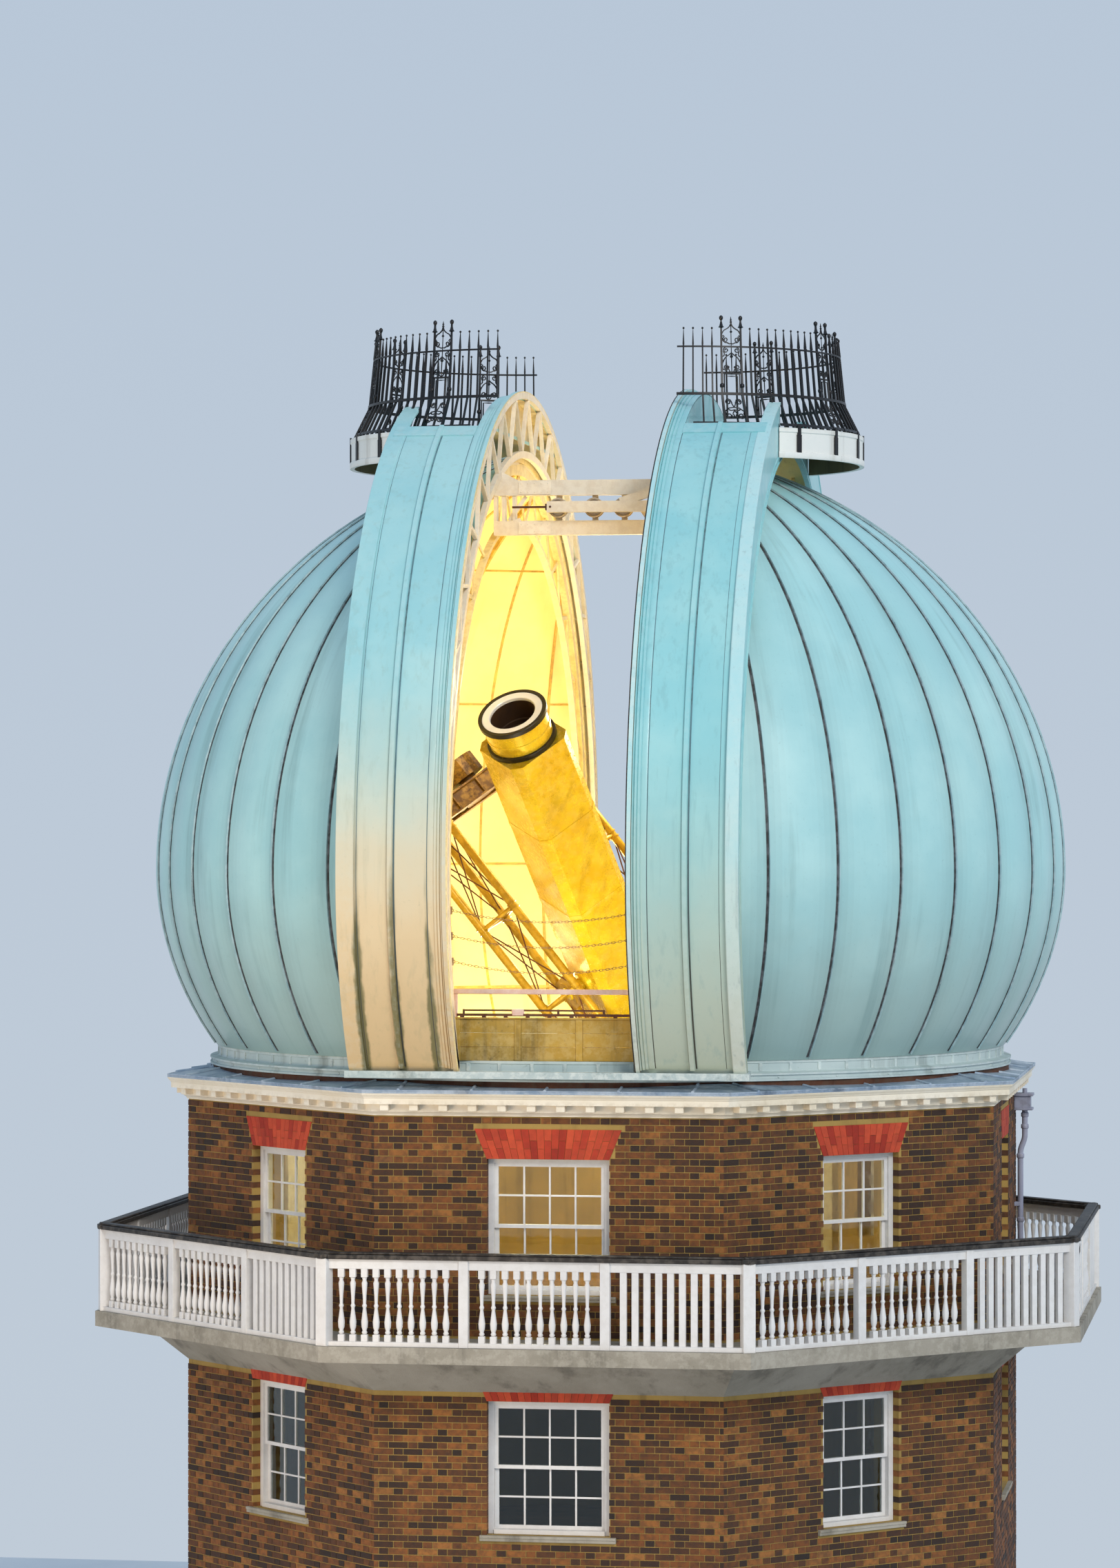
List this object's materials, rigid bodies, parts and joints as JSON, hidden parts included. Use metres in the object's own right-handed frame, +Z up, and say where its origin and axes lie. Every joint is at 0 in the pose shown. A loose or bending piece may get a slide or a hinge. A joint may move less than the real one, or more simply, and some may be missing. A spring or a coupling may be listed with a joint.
{
  "type": "observatory dome",
  "caption": "Round telescope dome with sliding shutter leaves and a crown railing, on an octagonal brick tower with a terrace, and a refracting telescope inside.",
  "frame": {"origin": "on the ground under the middle of the tower", "axes": "+Z up; the slit of the dome faces -Y at rest and the leaves part along X"},
  "size_m": [11.68, 11.68, 18.26],
  "materials": {
    "brick": "weathered brown brick in lime mortar",
    "stone": "weathered stone",
    "timber": "boarded floor",
    "cream_paint": "cream paint on timber",
    "lead": "dull lead sheet",
    "glass": "old window glass",
    "dome_paint": "pale blue green paint on moulded panels, seams stained dark",
    "leaf_paint": "pale blue green paint, algae at the foot",
    "steel_paint": "cream paint on riveted steel",
    "black_iron": "black paint on wrought iron",
    "gold_paint": "golden yellow enamel",
    "door_paint": "dark green paint on boards"
  },
  "bodies": {
    "tower": {"back_left_wall": "brick", "back_right_wall": "brick", "back_wall": "brick", "base_slab": "stone", "dome_track": "lead", "first_floor": "timber", "first_glazing": "glass", "front_left_wall": "brick", "front_right_wall": "brick", "front_wall": "brick", "ground_door": "door_paint", "ground_glazing": "glass", "lead_roof": "lead", "left_wall": "brick", "main_cornice": "cream_paint", "north_pier": "stone", "rainwater_pipe": "black_iron", "right_wall": "brick", "south_pier": "stone", "telescope_floor": "timber", "terrace_balustrade": "cream_paint", "terrace_deck": "stone", "upper_bearing_frame": "steel_paint", "upper_glazing": "glass"},
    "dome": {"back_leaf_rail": "steel_paint", "back_left_shell": "dome_paint", "back_right_shell": "dome_paint", "back_sill": "cream_paint", "curb": "lead", "front_crossbeams": "steel_paint", "front_leaf_rail": "steel_paint", "front_left_shell": "dome_paint", "front_right_shell": "dome_paint", "front_sill": "cream_paint", "left_slit_arch": "steel_paint", "right_slit_arch": "steel_paint", "safety_chain_1": "steel_paint", "safety_chain_2": "steel_paint", "safety_chain_3": "steel_paint"},
    "right_leaf": {"right_crown_platform": "cream_paint", "right_crown_railing": "black_iron", "right_leaf_fin": "leaf_paint", "right_leaf_skin": "leaf_paint", "right_leaf_truss": "steel_paint", "right_tail_bar": "steel_paint"},
    "left_leaf": {"left_crown_platform": "cream_paint", "left_crown_railing": "black_iron", "left_leaf_fin": "leaf_paint", "left_leaf_skin": "leaf_paint", "left_leaf_truss": "steel_paint"},
    "yoke": {"first_yoke_truss": "gold_paint", "lower_yoke_head": "gold_paint", "second_yoke_truss": "gold_paint", "upper_yoke_head": "gold_paint"},
    "telescope": {"dew_cap": "gold_paint", "eyepiece_end": "black_iron", "telescope_tube": "gold_paint"}
  },
  "joints": [
    {"name": "dome_rotation", "type": "hinge", "parent": "tower", "child": "dome", "pos_m": [0, 0, 9.355], "axis": [0, 0, 1], "continuous": true},
    {"name": "right_leaf_slide", "type": "slide", "parent": "dome", "child": "right_leaf", "axis": [-1, 0, 0], "range_m": [0, 0.985]},
    {"name": "left_leaf_slide", "type": "slide", "parent": "dome", "child": "left_leaf", "axis": [1, 0, 0], "range_m": [0, 0.985]},
    {"name": "polar_axis", "type": "hinge", "parent": "tower", "child": "yoke", "pos_m": [0, 0, 10.55], "axis": [-0.6225, 0, 0.7826], "range_deg": [-16, 144]},
    {"name": "declination_axis", "type": "hinge", "parent": "yoke", "child": "telescope", "pos_m": [0, 0, 10.55], "axis": [0.7034, 0.4384, 0.5595], "range_deg": [-20, 54]}
  ]
}
